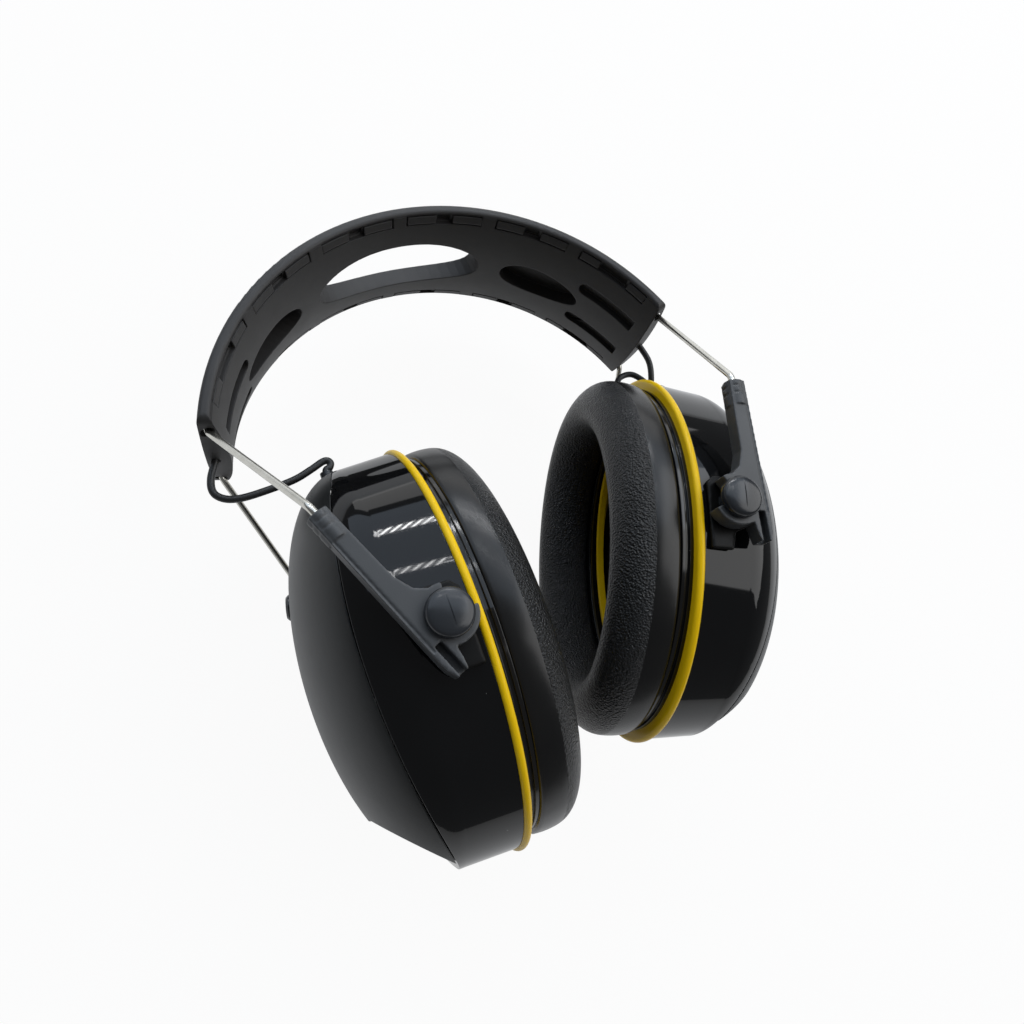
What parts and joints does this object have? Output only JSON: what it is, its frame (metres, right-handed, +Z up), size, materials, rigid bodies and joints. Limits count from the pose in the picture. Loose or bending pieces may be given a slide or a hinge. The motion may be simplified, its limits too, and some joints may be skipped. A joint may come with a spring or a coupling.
{
  "type": "earmuff hearing protector",
  "caption": "Over-the-head earmuff: oval cups with soft cushions and yellow rings, slide and tilt on wire legs of a moulded headband, joined by a cable.",
  "frame": {"origin": "middle of the bounding box in plan, on the table that it lies on", "axes": "lying on its back: +X towards the right cup, +Y towards the crown of the headband, +Z up, the way the front edge of the headband faces"},
  "size_m": [0.1479, 0.1758, 0.1006],
  "materials": {
    "headband": "matt dark grey moulding",
    "wire": "bright drawn stainless wire",
    "band_cable": "satin black rubber",
    "cable": "satin black rubber",
    "arm": "satin black moulding",
    "side_shell": "glossy black moulding",
    "outer_cover": "fine matt dark grey",
    "trim_ring": "glossy yellow",
    "seal_plate": "black",
    "ear_cushion": "soft foam with a black vinyl skin: smooth side, pebble-grained face",
    "foam_liner": "dark grey open foam",
    "speaker": "black",
    "pivot_brackets": "glossy black moulding",
    "pivot_pins": "glossy black moulding",
    "cable_grommet": "satin black rubber",
    "circuit_board": "green board",
    "power_button": "black",
    "battery_holder": "black",
    "batteries": "plain wrapped cells"
  },
  "bodies": {
    "band": {"headband": "headband", "front_wire": "wire", "rear_wire": "wire", "band_cable": "band_cable", "left_cable": "cable", "right_cable": "cable"},
    "left_arms": {"left_front_arm": "arm", "left_rear_arm": "arm"},
    "right_arms": {"right_front_arm": "arm", "right_rear_arm": "arm"},
    "left_cup": {"left_side_shell": "side_shell", "left_outer_cover": "outer_cover", "left_trim_ring": "trim_ring", "left_seal_plate": "seal_plate", "left_ear_cushion": "ear_cushion", "left_foam_liner": "foam_liner", "left_speaker": "speaker", "left_pivot_brackets": "pivot_brackets", "left_pivot_pins": "pivot_pins", "left_cable_grommet": "cable_grommet", "left_circuit_board": "circuit_board"},
    "right_cup": {"right_side_shell": "side_shell", "right_outer_cover": "outer_cover", "right_trim_ring": "trim_ring", "right_seal_plate": "seal_plate", "right_ear_cushion": "ear_cushion", "right_foam_liner": "foam_liner", "right_speaker": "speaker", "right_pivot_brackets": "pivot_brackets", "right_pivot_pins": "pivot_pins", "right_cable_grommet": "cable_grommet", "right_battery_holder": "battery_holder", "right_batteries": "batteries"},
    "power_button": {"left_power_button": "power_button"}
  },
  "joints": [
    {"name": "left_slide", "type": "slide", "parent": "band", "child": "left_arms", "axis": [0.3535, -0.93, 0.101], "range_m": [0, 0.02], "deforming": ["left_cable"]},
    {"name": "left_tilt", "type": "hinge", "parent": "left_arms", "child": "left_cup", "pos_m": [-0.03865, -0.03279, 0.05029], "axis": [0, -0.108, -0.9942], "range_deg": [-14.6, 10.4], "deforming": ["left_cable"]},
    {"name": "right_slide", "type": "slide", "parent": "band", "child": "right_arms", "axis": [-0.3535, -0.93, 0.101], "range_m": [0, 0.02], "deforming": ["right_cable"]},
    {"name": "right_tilt", "type": "hinge", "parent": "right_arms", "child": "right_cup", "pos_m": [0.03815, -0.03279, 0.05029], "axis": [0, -0.108, -0.9942], "range_deg": [-40, 1], "deforming": ["right_cable"]},
    {"name": "power_button_press", "type": "slide", "parent": "left_cup", "child": "power_button", "axis": [0.9632, -0.2492, 0.101], "range_m": [0, 0.0006], "stiffness_N_per_m": 900, "springref_m": -0.0006}
  ]
}
